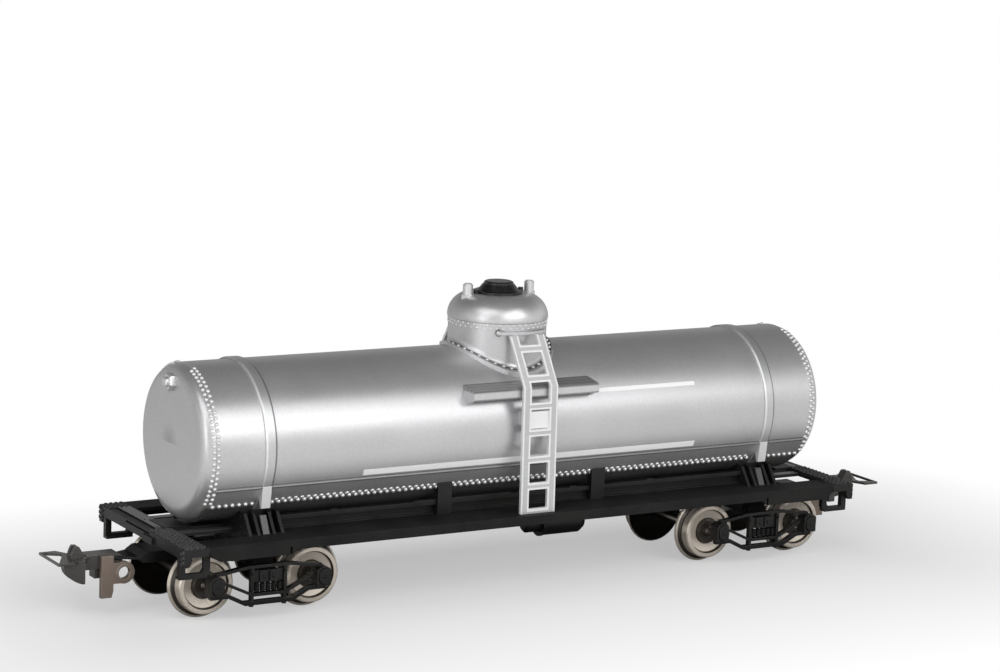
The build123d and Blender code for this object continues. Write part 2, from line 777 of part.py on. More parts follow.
def coupler_arm(bolster):
    """Arm from the bolster over the outer axle, thick as far as the end beam, thin at the pivot."""
    x0 = truck_x + bolster_half_width - 0.5
    x2 = frame_half_length + 0.8
    top = arm_top_z
    thick = [(x0, arm_z - 0.6), (x2, arm_z - 0.6), (x2 + 0.3, arm_z), (x2 + 0.6, top), (x2 - 0.6, top + 0.8),
             (x0, top + 0.8)]
    arm = plate_xz(thick, -arm_half_width, arm_half_width)
    taper = [(x2, arm_half_width), (pivot_x, arm_end_radius), (pivot_x, -arm_end_radius), (x2, -arm_half_width)]
    tail = plate_xy(taper, arm_z, top)
    hole = rod_z(pivot_x, 0, arm_z, top, coupler_pin_radius + pin_clearance)
    pocket = block(x0 + 3.0, x2 - 4.0, -arm_half_width + 1.0, arm_half_width - 1.0, top + 0.3, top + 1.0)
    arm = arm + tail + rod_z(pivot_x, 0, arm_z, top, arm_end_radius) - hole - pocket - bolster
    return arm - rod_z(truck_x, 0, arm_z - 1.0, top + 1.0, pin_radius + pin_clearance)


def axle(x):
    hub_face = gauge_backs / 2 + wheel_width + 0.2
    return rod_y(x, -hub_face, hub_face, axle_z, axle_radius) + rod_y(x, -axle_half_length, axle_half_length, axle_z,
                                                                      journal_radius)


def wheel(x, side):
    """A turned wheel: flange, coned tread, raised rim, recessed web and hub."""
    back = gauge_backs / 2
    face = back + wheel_width
    root = back + flange_width
    rim = tread_radius - rim_depth
    outline = Polyline((axle_radius, back), (flange_radius - 0.3, back), (flange_radius, back + 0.3),
                       (flange_radius - 0.15, root - 0.15), (tread_radius, root + 0.2),
                       (tread_radius - 0.1, face - 0.2), (tread_radius - 0.3, face), (rim, face),
                       (rim - 0.25, face - web_recess), (hub_radius + 0.2, face - web_recess - 0.3),
                       (hub_radius, face - 0.1), (axle_radius, face - 0.1), close=True)
    solid = revolve(make_face(outline), Axis.Y, 360)
    return Pos(x, 0, axle_z) * (solid if side > 0 else at_left(solid))


# Couplers, drawn at the right end

def coupler_plate():
    """Steel plate against the shank's side, with a rimmed round eye in its ear."""
    y0 = coupler_half_width
    y1 = y0 + plate_thickness
    x0 = pivot_x + plate_x
    x1 = x0 + plate_width
    low = loop_z - plate_depth
    blade = plate_xz([(x0, loop_z), (x1, loop_z), (x1, low), (x0 + 0.3, low), (x0, low + 1.1)], y0, y1)
    ear = rod_y(eye_x, y0, y1, eye_z, plate_ear_radius)
    web = block(eye_x, x0, y0, y1, eye_z - plate_ear_radius * 0.94, eye_z + plate_ear_radius * 0.94)
    rim = rod_y(eye_x, y0, y1 + rim_height, eye_z, plate_eye_radius + plate_rim)
    eye = rod_y(eye_x, y0, y1 + rim_height, eye_z, plate_eye_radius)
    return blade + ear + web + rim - eye


def coupler_head():
    """Flat head with a slanted nose on one side and a thin wire loop to its far corner."""
    half = loop_half_width
    x0 = pivot_x + head_x
    root = pivot_x + loop_root
    reach = pivot_x + loop_reach
    plan = [(x0, coupler_half_width), (root - 1.2, half - 0.8), (root, half), (reach, half), (reach, -half),
            (root, -half), (root - 1.3, -coupler_half_width - 0.2), (x0, -coupler_half_width)]
    gap = [(reach - loop_wire, half - 0.5), (reach - loop_wire, -half + 0.5), (root, -half + 2.0), (root, -1.2)]
    return plate_xy(plan, loop_z - loop_thickness, loop_z) - plate_xy(gap, 0, 2 * loop_z)


def coupler_hook():
    """Upright hook on the head, curved at the front and back, with a groove down its face."""
    x0 = pivot_x + hook_x
    z0 = loop_z - loop_thickness / 2
    curve = [ThreePointArc((x0, 0, z0), (x0 + 0.75, 0, loop_z + 1.0), (x0 + 1.1, 0, loop_z + 1.6)),
             Line((x0 + 1.1, 0, loop_z + 1.6), (x0 + 1.8, 0, loop_z + 1.65)),
             ThreePointArc((x0 + 1.8, 0, loop_z + 1.65), (x0 + 2.15, 0, loop_z + 1.0), (x0 + 2.5, 0, z0)),
             Line((x0 + 2.5, 0, z0), (x0, 0, z0))]
    hook = Pos(0, -hook_width / 2, 0) * extrude(make_face(curve), amount=hook_width, dir=(0, 1, 0))
    return hook - block(x0 + 0.9, x0 + 3.0, -0.25, 0.25, loop_z + 0.4, loop_z + 2.0)


def coupler_fin():
    """Quarter-round guide fin under the head's nose."""
    x0 = pivot_x + fin_x
    x1 = x0 + fin_length
    low = loop_z - fin_depth
    keel = [Line((x0, 0, loop_z), (x0, 0, low)), Line((x0, 0, low), (x0 + 0.4, 0, low)),
            ThreePointArc((x0 + 0.4, 0, low), (x0 + 2.3, 0, low + 0.95), (x1 - 0.2, 0, low + 2.1)),
            Line((x1 - 0.2, 0, low + 2.1), (x1, 0, low + 2.7)), Line((x1, 0, low + 2.7), (x1, 0, loop_z)),
            Line((x1, 0, loop_z), (x0, 0, loop_z))]
    y0 = fin_offset - fin_thickness / 2
    return Pos(0, y0, 0) * extrude(make_face(keel), amount=fin_thickness, dir=(0, 1, 0))


def coupler():
    """Clevis round the arm's end, shank with a foot, head with hook and fin."""
    under_z = arm_z - clevis_gap
    over_z = arm_top_z + clevis_gap
    neck_z = under_z - clevis_lower
    x0 = pivot_x + head_x
    lower = rod_z(pivot_x, 0, neck_z, under_z, arm_end_radius)
    lower = lower + block(pivot_x, x0 + 1.2, -coupler_half_width, coupler_half_width, neck_z, under_z)
    pin = rod_z(pivot_x, 0, under_z, over_z, coupler_pin_radius)
    side = [(pivot_x - 0.9, over_z), (pivot_x - 0.2, shank_top_z), (x0 + 0.6, shank_top_z), (x0 + 0.6, neck_z),
            (pivot_x + 1.2, neck_z), (pivot_x + 1.2, over_z)]
    shank = plate_xz(side, -coupler_half_width, coupler_half_width)
    shank = shank - rod_z(pivot_x, 0, under_z, over_z, arm_end_radius + clevis_round)
    foot = block(pivot_x + foot_x, pivot_x + foot_x + foot_length, -1.1, 1.1, neck_z - foot_depth, neck_z)
    return lower + pin + shank + foot + coupler_head() + coupler_hook() + coupler_fin()


tank_solid = tank()
rings = bands(tank_solid)
dome_solid = dome(tank_solid)
sill = centre_sill()
supports = [saddle_body(), at_left(saddle_body())]
save("tank", tank_solid)
save("tank_bands", *rings)
save("band_straps", *band_straps(tank_solid, rings, supports))
save("dome", dome_solid)
save("hatch_cover", hatch())
save("safety_valves", *valves(dome_solid))
save("centre_sill", sill)
channels = side_sills()
save("side_sills", *channels)
save("cross_bearers", *cross_bearers())
save("support_posts", *support_posts(tank_solid, channels))
save("corner_steps", *corner_steps())
save("brake_gear", brake_gear(sill))
far_ladder = ladder(tank_solid)
far_platform = dome_platform(tank_solid, far_ladder)
far_board = running_board()
for name, side in (("near", -1), ("far", 1)):
    save("ladder_" + name, far_or_near(far_ladder, side))
    save("dome_platform_" + name, far_or_near(far_platform, side))
    save("running_board_" + name, far_or_near(far_board, side))

bolster = truck_bolster()
plate = coupler_plate()
right_end = {
    "end_platform": [end_platform(sill)],
    "saddle": [saddle(tank_solid, rings, sill)],
    "king_pin": [king_pin(sill)],
    "truck_bolster": [bolster],
    "coupler_arm": [coupler_arm(bolster)],
    "truck_springs": truck_springs(),
    "coupler": [coupler()],
    "coupler_plate": [plate],
}
far_frame = side_frame()
for end, place in (("right", lambda s: s), ("left", at_left)):
    for name, solids in right_end.items():
        save(name + "_" + end, *[place(s) for s in solids])
    for name, side in (("near", -1), ("far", 1)):
        turned = side if end == "right" else -side
        save("side_frame_" + end + "_" + name, place(far_or_near(far_frame, turned)))

for number, x in ((1, -truck_x - axle_offset), (2, -truck_x + axle_offset),
                  (3, truck_x - axle_offset), (4, truck_x + axle_offset)):
    save("axle_" + str(number), axle(x))
    for name, side in (("near", -1), ("far", 1)):
        save("wheel_" + str(number) + "_" + name, wheel(x, side))
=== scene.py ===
import math

import bpy
from mathutils import Matrix, Vector


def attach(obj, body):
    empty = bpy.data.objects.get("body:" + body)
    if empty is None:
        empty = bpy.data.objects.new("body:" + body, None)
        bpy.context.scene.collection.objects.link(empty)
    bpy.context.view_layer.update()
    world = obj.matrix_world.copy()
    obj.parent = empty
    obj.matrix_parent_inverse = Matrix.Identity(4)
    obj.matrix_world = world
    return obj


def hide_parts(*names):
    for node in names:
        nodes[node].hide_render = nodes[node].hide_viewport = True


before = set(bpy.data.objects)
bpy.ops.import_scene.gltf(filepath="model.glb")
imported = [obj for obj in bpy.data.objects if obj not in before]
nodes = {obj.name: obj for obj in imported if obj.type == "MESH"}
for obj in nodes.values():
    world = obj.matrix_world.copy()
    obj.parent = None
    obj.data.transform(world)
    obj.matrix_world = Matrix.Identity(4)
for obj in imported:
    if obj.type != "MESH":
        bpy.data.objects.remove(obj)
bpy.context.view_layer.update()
MM = 0.001

# Sizes repeated from the CAD source, in millimetres
TANK_R = 12.8
AXIS_Z = 27.1
DECK_Z = 13.7
TRUCK_X = 48.4       # also the middle of each tank band
AXLE_X = 9.4
AXLE_Z = 5.7
DOME_R = 8.35
CAP_Z = 44.9
FRAME_Y = 16.75
FRAME_X = 64.8
BELLY = 0.2          # thickness of the belly sheet
SHELL_X = 57.7
KNUCKLE = 2.2
PLUG_RISE = 9.9      # head plug over the tank's axis
PLANK_RISE = 0.2     # end plank over the deck
ENDS = (("left", -1), ("right", 1))


# Materials

class Nodes:
    """A short way to write a node tree. Bounds of the _mm calls are in millimetres."""

    def __init__(self, tree):
        self.nt = tree

    def node(self, kind, **settings):
        n = self.nt.nodes.new(kind)
        for key, value in settings.items():
            setattr(n, key, value)
        return n

    def put(self, value, socket):
        if isinstance(value, bpy.types.NodeSocket):
            self.nt.links.new(value, socket)
        else:
            socket.default_value = value

    def math(self, op, a, b=0.0, c=0.0, clamp=False):
        n = self.node("ShaderNodeMath", operation=op, use_clamp=clamp)
        for value, socket in zip((a, b, c), n.inputs):
            self.put(value, socket)
        return n.outputs[0]

    def times(self, first, *others):
        for other in others:
            first = self.math("MULTIPLY", first, other)
        return first

    def plus(self, a, b):
        return self.math("ADD", a, b)

    def minus(self, a, b):
        return self.math("SUBTRACT", a, b)

    def most(self, a, b):
        return self.math("MAXIMUM", a, b)

    def size(self, value):
        return self.math("ABSOLUTE", value)

    def length(self, a, b):
        return self.math("SQRT", self.plus(self.times(a, a), self.times(b, b)))

    def ramp(self, value, low, high, out_low=0.0, out_high=1.0, kind="LINEAR"):
        n = self.node("ShaderNodeMapRange", interpolation_type=kind)
        self.put(value, n.inputs["Value"])
        keys = ("From Min", "From Max", "To Min", "To Max")
        for key, number in zip(keys, (low, high, out_low, out_high)):
            n.inputs[key].default_value = number
        return n.outputs["Result"]

    def ramp_mm(self, value, low, high, out_low=0.0, out_high=1.0):
        return self.ramp(value, low * MM, high * MM, out_low, out_high)

    def band(self, value, low, high, soft):
        """1 between low and high, falling to 0 over soft."""
        up = self.ramp(value, low - soft, low)
        down = self.ramp(value, high, high + soft, 1.0, 0.0)
        return self.times(up, down)

    def band_mm(self, value, low, high, soft):
        return self.band(value, low * MM, high * MM, soft * MM)


class Graph(Nodes):
    """One material's nodes. Radii and depths are in millimetres."""

    SOCKETS = {"color": "Base Color", "metallic": "Metallic", "rough": "Roughness",
               "normal": "Normal", "specular": "Specular IOR Level"}

    def __init__(self, name):
        self.mat = bpy.data.materials.new(name)
        self.mat.use_nodes = True
        super().__init__(self.mat.node_tree)
        self.bsdf = self.nt.nodes["Principled BSDF"]
        self.out = self.nt.nodes["Material Output"]
        self.pos = self.node("ShaderNodeTexCoord").outputs["Object"]

    def xyz(self):
        n = self.node("ShaderNodeSeparateXYZ")
        self.put(self.pos, n.inputs[0])
        return n.outputs

    def scaled(self, factor):
        n = self.node("ShaderNodeVectorMath", operation="MULTIPLY")
        self.put(self.pos, n.inputs[0])
        n.inputs[1].default_value = factor
        return n.outputs[0]

    def noise(self, scale, detail=3.0, rough=0.55, vector=None):
        n = self.node("ShaderNodeTexNoise")
        self.put(vector or self.pos, n.inputs["Vector"])
        n.inputs["Scale"].default_value = scale
        n.inputs["Detail"].default_value = detail
        n.inputs["Roughness"].default_value = rough
        return n.outputs["Fac"]

    def spread(self, noise, low, high):
        """A noise's middle values laid between low and high."""
        return self.ramp(noise, 0.3, 0.7, low, high)

    def mix(self, fac, a, b):
        n = self.node("ShaderNodeMix", data_type="RGBA")
        self.put(fac, n.inputs["Factor"])
        self.put(a, n.inputs["A"])
        self.put(b, n.inputs["B"])
        return n.outputs["Result"]

    def bump(self, height, normal, strength, depth):
        n = self.node("ShaderNodeBump")
        n.inputs["Strength"].default_value = strength
        n.inputs["Distance"].default_value = depth * MM
        self.put(height, n.inputs["Height"])
        self.put(normal, n.inputs["Normal"])
        return n.outputs["Normal"]

    def rounded(self, radius):
        n = self.node("ShaderNodeBevel", samples=4)
        n.inputs["Radius"].default_value = radius * MM
        return n.outputs["Normal"]

    def edges(self, radius):
        """About 1 on an edge and 0 on a flat, from the bevelled normal."""
        flat = self.node("ShaderNodeNewGeometry").outputs["Normal"]
        n = self.node("ShaderNodeVectorMath", operation="DOT_PRODUCT")
        self.put(self.rounded(radius), n.inputs[0])
        self.put(flat, n.inputs[1])
        return self.ramp(n.outputs["Value"], 0.995, 0.80)

    def set(self, **values):
        for key, value in values.items():
            self.put(value, self.bsdf.inputs[self.SOCKETS[key]])


def grey(v, tint=0.0):
    """A grey, a little warm with a tint."""
    return (v + tint, v, v - tint, 1.0)


# Marks: each changes one piece's paint, a dict of the values for Graph.set

CREST = (1.5, 4.0)   # from the tank's top line out, where the painted highlight and shade by the bands set in
STRIPES = (          # degrees from level, then x, of each white stripe
    (-24.0, -19.4, -31.2, 33.4),
    (25.5, 28.4, 13.0, 33.2),
)
STRIPE_SOFT = 0.3    # degrees
SEAM_Z = (21.53, 21.62)
BEAD_Z = (21.02, 21.50)
# Degrees below level over which the belly is painted dark, as shade.
BELLY_SHADE_DEGREES = (-43.0, -46.0)
BOARD_PITCH = 1.25
BOARD_TOP_Z = 34.2
OPENING_RISE = 6.825  # middle of a ladder opening over the deck
OPENING_PITCH = 4.5
OPENING_HALF = (1.8, 1.675)
TOOL_PITCH = 0.22


def near_x(g, x, y):
    """X on the near side; the far side repeats the near side turned half round."""
    return g.times(x, g.math("SIGN", y), -1.0)


def past_band(g, along):
    """How far a point lies past the middle of its tank band."""
    return g.minus(along, g.times(g.math("SIGN", along), TRUCK_X * MM))


def tank_marks(g, paint):
    """White stripes, painted shade beside the bands and along the belly's lap, painted shade on
    the seam bead, and a belly painted dark as shade.
    """
    x, y, z = g.xyz()
    along = near_x(g, x, y)
    out = g.size(y)
    angle = g.math("ARCTAN2", g.minus(z, AXIS_Z * MM), out)
    soft = math.radians(STRIPE_SOFT)
    stripes = [g.times(g.band(angle, math.radians(low), math.radians(high), soft),
                       g.band_mm(along, first, last, 0.05))
               for low, high, first, last in STRIPES]
    white = g.math("ADD", *stripes, clamp=True)
    # Painted shade: a dark line on the tank beside each band's edge, and another along the belly's
    # lap.
    corner = g.times(g.band_mm(past_band(g, along), 0.8, 1.1, 0.07), g.ramp_mm(out, *CREST))
    seam = g.times(g.band_mm(z, *SEAM_Z, 0.06), g.ramp_mm(out, 11.2, 11.3))
    band_and_lap_shade = g.times(g.most(corner, seam), 0.7)
    # The belly below the rivets is painted dark, as shade.
    belly = g.times(g.ramp(angle, *(math.radians(a) for a in BELLY_SHADE_DEGREES)), 0.7)
    belly = g.times(belly, g.ramp_mm(g.size(x), SHELL_X + 0.5, SHELL_X))
    # The seam bead is painted darker, as shade.
    bead = g.times(g.band_mm(z, *BEAD_Z, 0.02), g.ramp_mm(out, 11.42, 11.48))
    colour = g.mix(g.most(band_and_lap_shade, belly), paint["color"], grey(0.05))
    colour = g.mix(g.times(bead, 0.75), colour, grey(0.13))
    paint["color"] = g.mix(white, colour, grey(0.99))
    paint["metallic"] = g.times(g.minus(1.0, white), paint["metallic"])
    paint["rough"] = g.plus(paint["rough"], g.times(white, 0.12))


def band_marks(g, paint):
    """A painted highlight along one edge of each band, and painted shade along the other."""
    x, y, _ = g.xyz()
    past = past_band(g, near_x(g, x, y))
    clear = g.ramp_mm(g.size(y), *CREST, 0.0, 0.65)
    # Painted highlight on one edge, painted shade on the other.
    bright = g.times(g.ramp_mm(past, -0.55, -0.68), clear)
    dark = g.times(g.ramp_mm(past, 0.62, 0.75), clear)
    paint["color"] = g.mix(dark, g.mix(bright, paint["color"], grey(0.92)), grey(0.05))


def board_marks(g, paint):
    """Tops of the dome platforms painted darker, as shade, with dark joints between their planks.
    """
    _, y, z = g.xyz()
    wave = g.math("SINE", g.times(g.size(y), 2 * math.pi / (BOARD_PITCH * MM)))
    joint = g.times(g.ramp(wave, 0.8, 0.97), g.ramp_mm(z, BOARD_TOP_Z + 0.1, BOARD_TOP_Z + 0.4))
    # The tops are painted darker, as shade.
    top = g.ramp_mm(z, BOARD_TOP_Z, BOARD_TOP_Z + 0.3)
    colour = g.mix(g.times(top, 0.7), paint["color"], grey(0.2))
    paint["color"] = g.mix(g.times(joint, 0.6), colour, grey(0.05))
    paint["normal"] = g.bump(g.minus(1.0, joint), paint["normal"], strength=0.8, depth=0.05)


def ladder_marks(g, paint):
    """Painted highlights along the rails' outer edges and round each opening."""
    x, _, z = g.xyz()
    out = g.size(x)
    half = OPENING_PITCH / 2 * MM
    rise = g.math("WRAP", g.minus(z, (DECK_Z + OPENING_RISE) * MM), half, -half)
    past_x = g.minus(out, OPENING_HALF[0] * MM)
    past_z = g.minus(g.size(rise), OPENING_HALF[1] * MM)
    # Painted highlights on the edges.
    line = g.most(g.ramp_mm(g.most(past_x, past_z), 0.36, 0.26), g.ramp_mm(out, 2.96, 3.06))
    paint["color"] = g.mix(g.times(line, 0.85), paint["color"], grey(0.95))


def strap_marks(g, paint):
    """The tie bars below the straps are painted darker, as shade under the tank."""
    _, _, z = g.xyz()
    # Painted shade on the tie bars.
    paint["color"] = g.mix(g.ramp_mm(z, 17.2, 17.0), paint["color"], grey(0.09))


def dome_marks(g, paint):
    """The low place inside the raised rim round the dome's foot is painted darker, as shade."""
    x, y, _ = g.xyz()
    # Painted shade in the low place.
    groove = g.times(g.band_mm(g.length(x, y), DOME_R + 0.35, DOME_R + 0.92, 0.1), 0.7)
    paint["color"] = g.mix(groove, paint["color"], grey(0.1))


def plank_grain(g, paint):
    """Faint long grooves and grain along the walkways."""
    grain = g.noise(60.0, detail=5.0, rough=0.65, vector=g.scaled((1.0, 9.0, 9.0)))
    paint["normal"] = g.bump(grain, paint["normal"], strength=0.35, depth=0.05)


def wheel_marks(g, paint):
    """Tool marks round each axle, painted shade on the backs, a dark bush, a dark line on the
    rim's face and painted shade in the gap behind the flange.
    """
    x, y, z = g.xyz()
    dx = g.minus(g.size(g.minus(g.size(x), TRUCK_X * MM)), AXLE_X * MM)
    radius = g.length(dx, g.minus(z, AXLE_Z * MM))
    wave = g.math("SINE", g.times(radius, 2 * math.pi / (TOOL_PITCH * MM)))
    paint["normal"] = g.bump(wave, paint["normal"], strength=0.12, depth=0.01)
    width = g.size(y)
    face = g.ramp_mm(width, 9.2, 9.35)
    # The wheels' backs are painted near black, as shade.
    back = g.ramp_mm(width, 7.22, 7.32, 1.0, 0.0)
    bush = g.ramp_mm(radius, 2.3, 2.4, 1.0, 0.0)
    rim = g.times(g.band_mm(radius, 3.72, 3.88, 0.05), face)
    # The root mask is painted shade in the gap behind the flange.
    root = g.times(g.band_mm(width, 7.95, 8.35, 0.1), g.ramp_mm(radius, 4.5, 4.6))
    lines = g.times(g.most(g.most(rim, root), bush), 0.93)
    colour = g.mix(back, paint["color"], (0.010, 0.008, 0.006, 1.0))
    paint["color"] = g.mix(lines, colour, (0.012, 0.009, 0.007, 1.0))


# End platforms: x and y of the smooth plank, of the dark line round it, and of the sill strips
PLANK = ((60.85, 63.2), (-13.4, 2.5))
PLANK_LINE = ((60.7, 63.4), (-13.6, 2.7))
SILL_STRIPS = ((51.5, 60.5), (4.5, 6.3))


def smooth_tops(g):
    """Masks of an end platform's smooth plank and sill strips, and of the line round the plank."""
    x, y, z = g.xyz()
    out = g.size(x)
    # The smooth plank lies on the far half at both ends.
    across = g.times(y, -1.0)
    level = g.ramp_mm(z, DECK_Z - 0.1, DECK_Z - 0.02)

    def patch(ranges, sideways):
        return g.times(g.band_mm(out, *ranges[0], 0.05), g.band_mm(sideways, *ranges[1], 0.05))

    plank = patch(PLANK, across)
    wide = patch(PLANK_LINE, across)
    strips = patch(SILL_STRIPS, g.size(y))
    return g.times(g.most(plank, strips), level), g.times(g.minus(wide, plank), level)


# Kinds of surface

def silver(name, base=0.58, metallic=0.65, rough=0.34, marks=None):
    """Silver paint on plastic: fine flake, orange peel and pale edges, partly rubbed paint and
    partly painted highlight.
    """
    g = Graph(name)
    wide = g.noise(90.0, detail=3.0)
    flake = g.noise(2600.0, detail=2.0)
    peel = g.noise(420.0, detail=3.0, rough=0.5)
    tone = g.plus(g.spread(wide, -0.02, 0.02), g.spread(flake, -0.025, 0.025))
    tone = g.plus(tone, base)
    mixed = g.node("ShaderNodeCombineColor")
    for lift, socket in zip((0.0, 0.0, 0.008), mixed.inputs):
        g.put(g.plus(tone, lift), socket)
    # Pale edges: partly rubbed paint, partly painted highlight.
    edge_wear_and_highlight = g.times(g.edges(0.12), 0.35)
    normal = g.bump(peel, g.rounded(0.10), strength=0.25, depth=0.02)
    paint = {
        "color": g.mix(edge_wear_and_highlight, mixed.outputs[0], grey(0.9)),
        "metallic": metallic,
        "rough": g.plus(g.spread(wide, -0.03, 0.03), rough),
        "normal": g.bump(flake, normal, strength=0.12, depth=0.006),
        "specular": 0.5,
    }
    if marks:
        marks(g, paint)
    g.set(**paint)
    return g.mat


def plastic(name, base, rough=0.42, edge_wear_and_glint=0.10, specular=0.3, tint=0.0, marks=None, smooth=None):
    """Moulded plastic with a faint grain, dust in the low places and pale edges, partly rubbed and
    partly painted glints.
    """
    g = Graph(name)
    wide = g.noise(140.0, detail=4.0, rough=0.6)
    fine = g.noise(1900.0, detail=3.0, rough=0.6)
    dusty = grey(base * 1.5 + 0.008, 0.001 + tint)
    colour = g.mix(g.ramp(wide, 0.35, 0.75), grey(base, tint), dusty)
    # Pale edges: partly rubbed, partly painted glints.
    edges = g.times(g.edges(0.11), g.ramp(fine, 0.3, 0.6, 0.4, 1.0))
    colour = g.mix(g.times(edges, edge_wear_and_glint), colour, grey(0.5))
    roughness = g.plus(g.spread(fine, -0.05, 0.06), rough)
    if smooth:
        flat, line = smooth(g)
        # The smooth plank and sill strips are painted a lighter grey: partly the plank's own
        # paint, and on both a painted reflection.
        colour = g.mix(flat, colour, grey(0.075))
        colour = g.mix(line, colour, grey(0.001))
        roughness = g.minus(roughness, g.times(flat, rough - 0.2))
        fine = g.times(fine, g.minus(1.0, flat))
    paint = {
        "color": colour,
        "metallic": 0.0,
        "rough": roughness,
        "normal": g.bump(fine, g.rounded(0.1), strength=0.25, depth=0.012),
        "specular": specular,
    }
    if marks:
        marks(g, paint)
    g.set(**paint)
    return g.mat


def metal(name, base, rough, metallic=1.0, marks=None):
    """Turned or rolled metal with a slight stain and bright edges."""
    g = Graph(name)
    wide = g.noise(160.0, detail=4.0, rough=0.6)
    fine = g.noise(2200.0, detail=3.0, rough=0.6)
    stained = tuple(v * 0.82 for v in base) + (1.0,)
    colour = g.mix(g.ramp(wide, 0.3, 0.75), stained, base + (1.0,))
    paint = {
        "color": g.mix(g.times(g.edges(0.1), 0.5), colour, (0.9, 0.86, 0.8, 1.0)),
        "metallic": metallic,
        "rough": g.plus(g.spread(wide, -0.05, 0.06), rough),
        "normal": g.rounded(0.08),
    }
    if marks:
        marks(g, paint)
    paint["normal"] = g.bump(fine, paint["normal"], strength=0.2, depth=0.008)
    g.set(**paint)
    return g.mat


tank_paint = silver("tank_paint", marks=tank_marks)
band_paint = silver("band_paint", marks=band_marks)
bright_silver = silver("bright_silver", base=0.7, metallic=0.6, rough=0.3)
strap_silver = silver("strap_silver", base=0.7, metallic=0.4, rough=0.4, marks=strap_marks)
rivet_silver = silver("rivet_silver", base=0.8, metallic=0.5, rough=0.3)
dome_paint = silver("dome_paint", marks=dome_marks)
ladder_grey = silver("ladder_grey", base=0.56, metallic=0.3, rough=0.4, marks=ladder_marks)
board_grey = silver("board_grey", base=0.62, metallic=0.5, rough=0.35, marks=board_marks)
black = plastic("black_plastic", 0.006)
black_walkway = plastic("black_walkway", 0.006, rough=0.6, edge_wear_and_glint=0.05, specular=0.2,
                        marks=plank_grain)
black_platform = plastic("black_platform", 0.006, rough=0.45, smooth=smooth_tops)
black_hatch = plastic("black_hatch", 0.005, rough=0.28, edge_wear_and_glint=0.05, specular=0.5)
# Its pale edges are mostly painted glints.
tread_black = plastic("tread_black", 0.012, rough=0.3, edge_wear_and_glint=0.5, specular=0.5)
truck_black = plastic("truck_black", 0.005, rough=0.35, edge_wear_and_glint=0.12)
spring_black = plastic("spring_black", 0.005, rough=0.5, edge_wear_and_glint=0.0, specular=0.2)
coupler_grey = plastic("coupler_grey", 0.045, rough=0.25, edge_wear_and_glint=0.3, specular=0.5, tint=0.004)
wheel_metal = metal("wheel_metal", (0.95, 0.85, 0.73), rough=0.24, metallic=0.35,
                    marks=wheel_marks)
axle_steel = metal("axle_steel", (0.35, 0.33, 0.3), rough=0.3)
plate_steel = metal("plate_steel", (0.3, 0.235, 0.195), rough=0.4, metallic=0.5)

# The first prefix that fits a node's name gives its material; the rest are plain black.
FINISH = (
    ("tank_bands", band_paint),
    ("tank", tank_paint),
    ("band_straps", strap_silver),
    ("dome_platform", board_grey),
    ("dome", dome_paint),
    ("hatch_cover", black_hatch),
    ("safety_valves", bright_silver),
    ("ladder", ladder_grey),
    ("running_board", black_walkway),
    ("end_platform", black_platform),
    ("coupler_plate", plate_steel),
    ("coupler_arm", truck_black),
    ("coupler", coupler_grey),
    ("wheel", wheel_metal),
    ("axle", axle_steel),
    ("king_pin", axle_steel),
    ("side_frame", truck_black),
    ("truck", truck_black),
)


def finish_of(name):
    for prefix, mat in FINISH:
        if name.startswith(prefix):
            return mat
    return black


for name, obj in nodes.items():
    mat = finish_of(name)
    if not obj.data.materials:
        obj.data.materials.append(mat)
    for slot in obj.material_slots:
        slot.material = mat


# Added pieces, in millimetres

def add_mesh(name, verts, faces, mat, body, slot, smooth=True):
    mesh = bpy.data.meshes.new(name)
    mesh.from_pydata([(x * MM, y * MM, z * MM) for x, y, z in verts], [], faces)
    mesh.update()
    if smooth:
        mesh.shade_smooth()
    obj = bpy.data.objects.new(name, mesh)
    bpy.context.scene.collection.objects.link(obj)
    obj.data.materials.append(mat)
    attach(obj, body)
    return obj


def join(*parts):
    """Several lists of points and faces as one."""
    verts = []
    faces = []
    for more, polygons in parts:
        base = len(verts)
        verts += more
        faces += [tuple(base + i for i in face) for face in polygons]
    return verts, faces


def walls(levels, sides):
    """Quads between rings of points that follow each other in a list."""
    faces = []
    for k in range(levels - 1):
        for i in range(sides):
            j = (i + 1) % sides
            faces.append((k * sides + i, k * sides + j, (k + 1) * sides + j, (k + 1) * sides + i))
    return faces


HEAD_RINGS = ((1.0, -0.12), (0.92, 0.45), (0.55, 0.88))  # parts of the radius and the height


def round_head(point, normal, radius, height, sides):
    n = Vector(normal).normalized()
    t = n.orthogonal().normalized()
    b = n.cross(t)
    verts = []
    for r, h in HEAD_RINGS:
        for i in range(sides):
            a = 2 * math.pi * i / sides
            ray = t * math.cos(a) + b * math.sin(a)
            verts.append(Vector(point) + ray * radius * r + n * height * h)
    verts.append(Vector(point) + n * height)
    top = len(verts) - 1
    last = top - sides
    cap = [(last + i, last + (i + 1) % sides, top) for i in range(sides)]
    return verts, walls(len(HEAD_RINGS), sides) + cap


def round_heads(spots, radius, height, sides=8):
    """Rivet and bolt heads: each spot is a point and its outward normal."""
    return join(*(round_head(point, normal, radius, height, sides) for point, normal in spots))


def on_tank(x, degrees, side, radius):
    """A point and its normal on a cylinder about the tank's axis; 0 is level, 90 is the top."""
    a = math.radians(degrees)
    normal = (0.0, side * math.cos(a), math.sin(a))
    return (x, side * radius * math.cos(a), AXIS_Z + radius * math.sin(a)), normal


